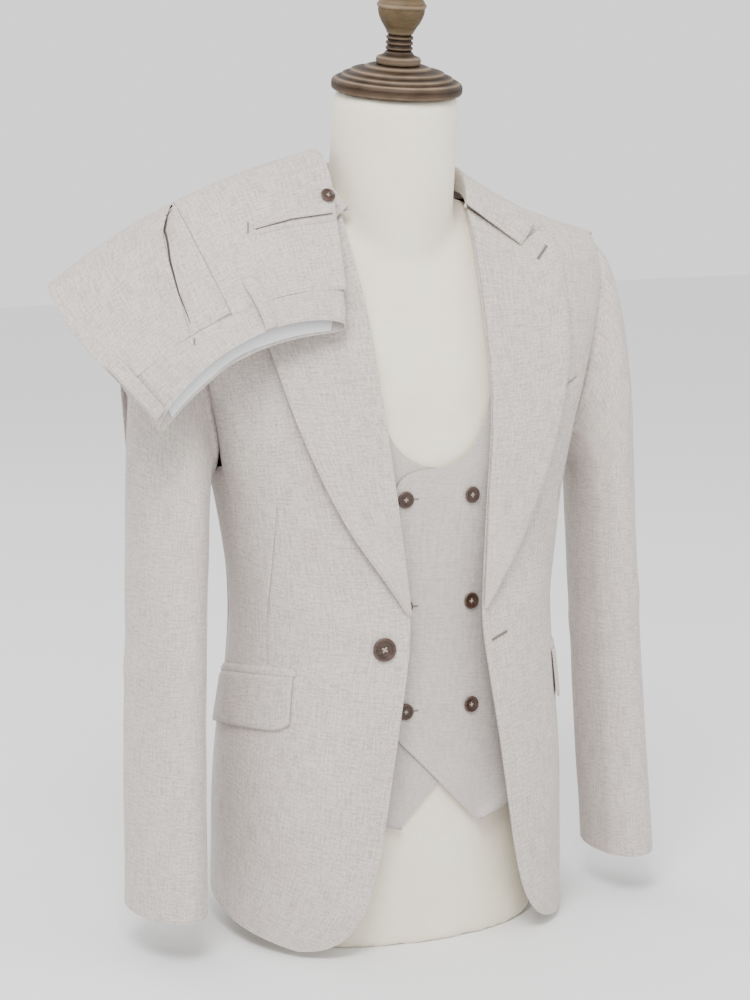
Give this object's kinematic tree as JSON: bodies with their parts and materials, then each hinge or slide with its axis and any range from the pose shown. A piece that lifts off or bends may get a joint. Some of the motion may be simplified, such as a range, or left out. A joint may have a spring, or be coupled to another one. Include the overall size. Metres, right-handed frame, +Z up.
{
  "type": "three-piece suit on a dress form",
  "caption": "Tailored suit with an open one-button jacket and double-breasted waistcoat on a limbless counter-top dress form, the folded trousers laid over one shoulder.",
  "frame": {"origin": "middle of the dress form's flat underside, which stands on a counter or floor", "axes": "+Z up the form to the finial, -Y the way the form faces, +X towards the wearer's left"},
  "size_m": [0.6297, 0.2976, 0.9149],
  "materials": {
    "suiting": "matte slubbed worsted and linen cloth",
    "lining": "smooth satin lining",
    "form_linen": "plain unbleached linen stretched over padding",
    "turned_wood": "dark stained, worn at the edges",
    "horn": "polished brown horn-look resin"
  },
  "bodies": {
    "root": {"form_body": "form_linen", "neck_cap": "turned_wood", "finial_base": "turned_wood", "finial_rings": "turned_wood", "finial_cup": "turned_wood", "waistcoat_over_front": "suiting", "waistcoat_under_front": "suiting", "waistcoat_back": "lining", "waistcoat_button_edge_1": "horn", "waistcoat_button_edge_2": "horn", "waistcoat_button_edge_3": "horn", "waistcoat_button_inner_1": "horn", "waistcoat_button_inner_2": "horn", "waistcoat_button_inner_3": "horn", "jacket_front_left": "suiting", "jacket_front_right": "suiting", "jacket_side_left": "suiting", "jacket_side_right": "suiting", "jacket_back_left": "suiting", "jacket_back_right": "suiting", "jacket_lapel_left": "suiting", "jacket_lapel_right": "suiting", "jacket_collar": "suiting", "jacket_top_sleeve_left": "suiting", "jacket_top_sleeve_right": "suiting", "jacket_under_sleeve_left": "suiting", "jacket_under_sleeve_right": "suiting", "jacket_flap_left": "suiting", "jacket_flap_right": "suiting", "jacket_pocket_jet_left": "suiting", "jacket_pocket_jet_right": "suiting", "jacket_breast_welt": "suiting", "jacket_front_button": "horn", "jacket_cuff_button_left": "horn", "jacket_cuff_button_right": "horn", "trousers_front_leg": "suiting", "trousers_back_leg": "suiting", "trousers_pocket_facing": "suiting", "trousers_folded_legs": "suiting", "trousers_waistband": "suiting", "trousers_waist_lining": "lining", "trousers_belt_loop_outer": "suiting", "trousers_belt_loop_middle": "suiting", "trousers_back_pocket_jet_upper": "suiting", "trousers_back_pocket_jet_lower": "suiting", "trousers_pocket_button": "horn"}
  },
  "joints": []
}
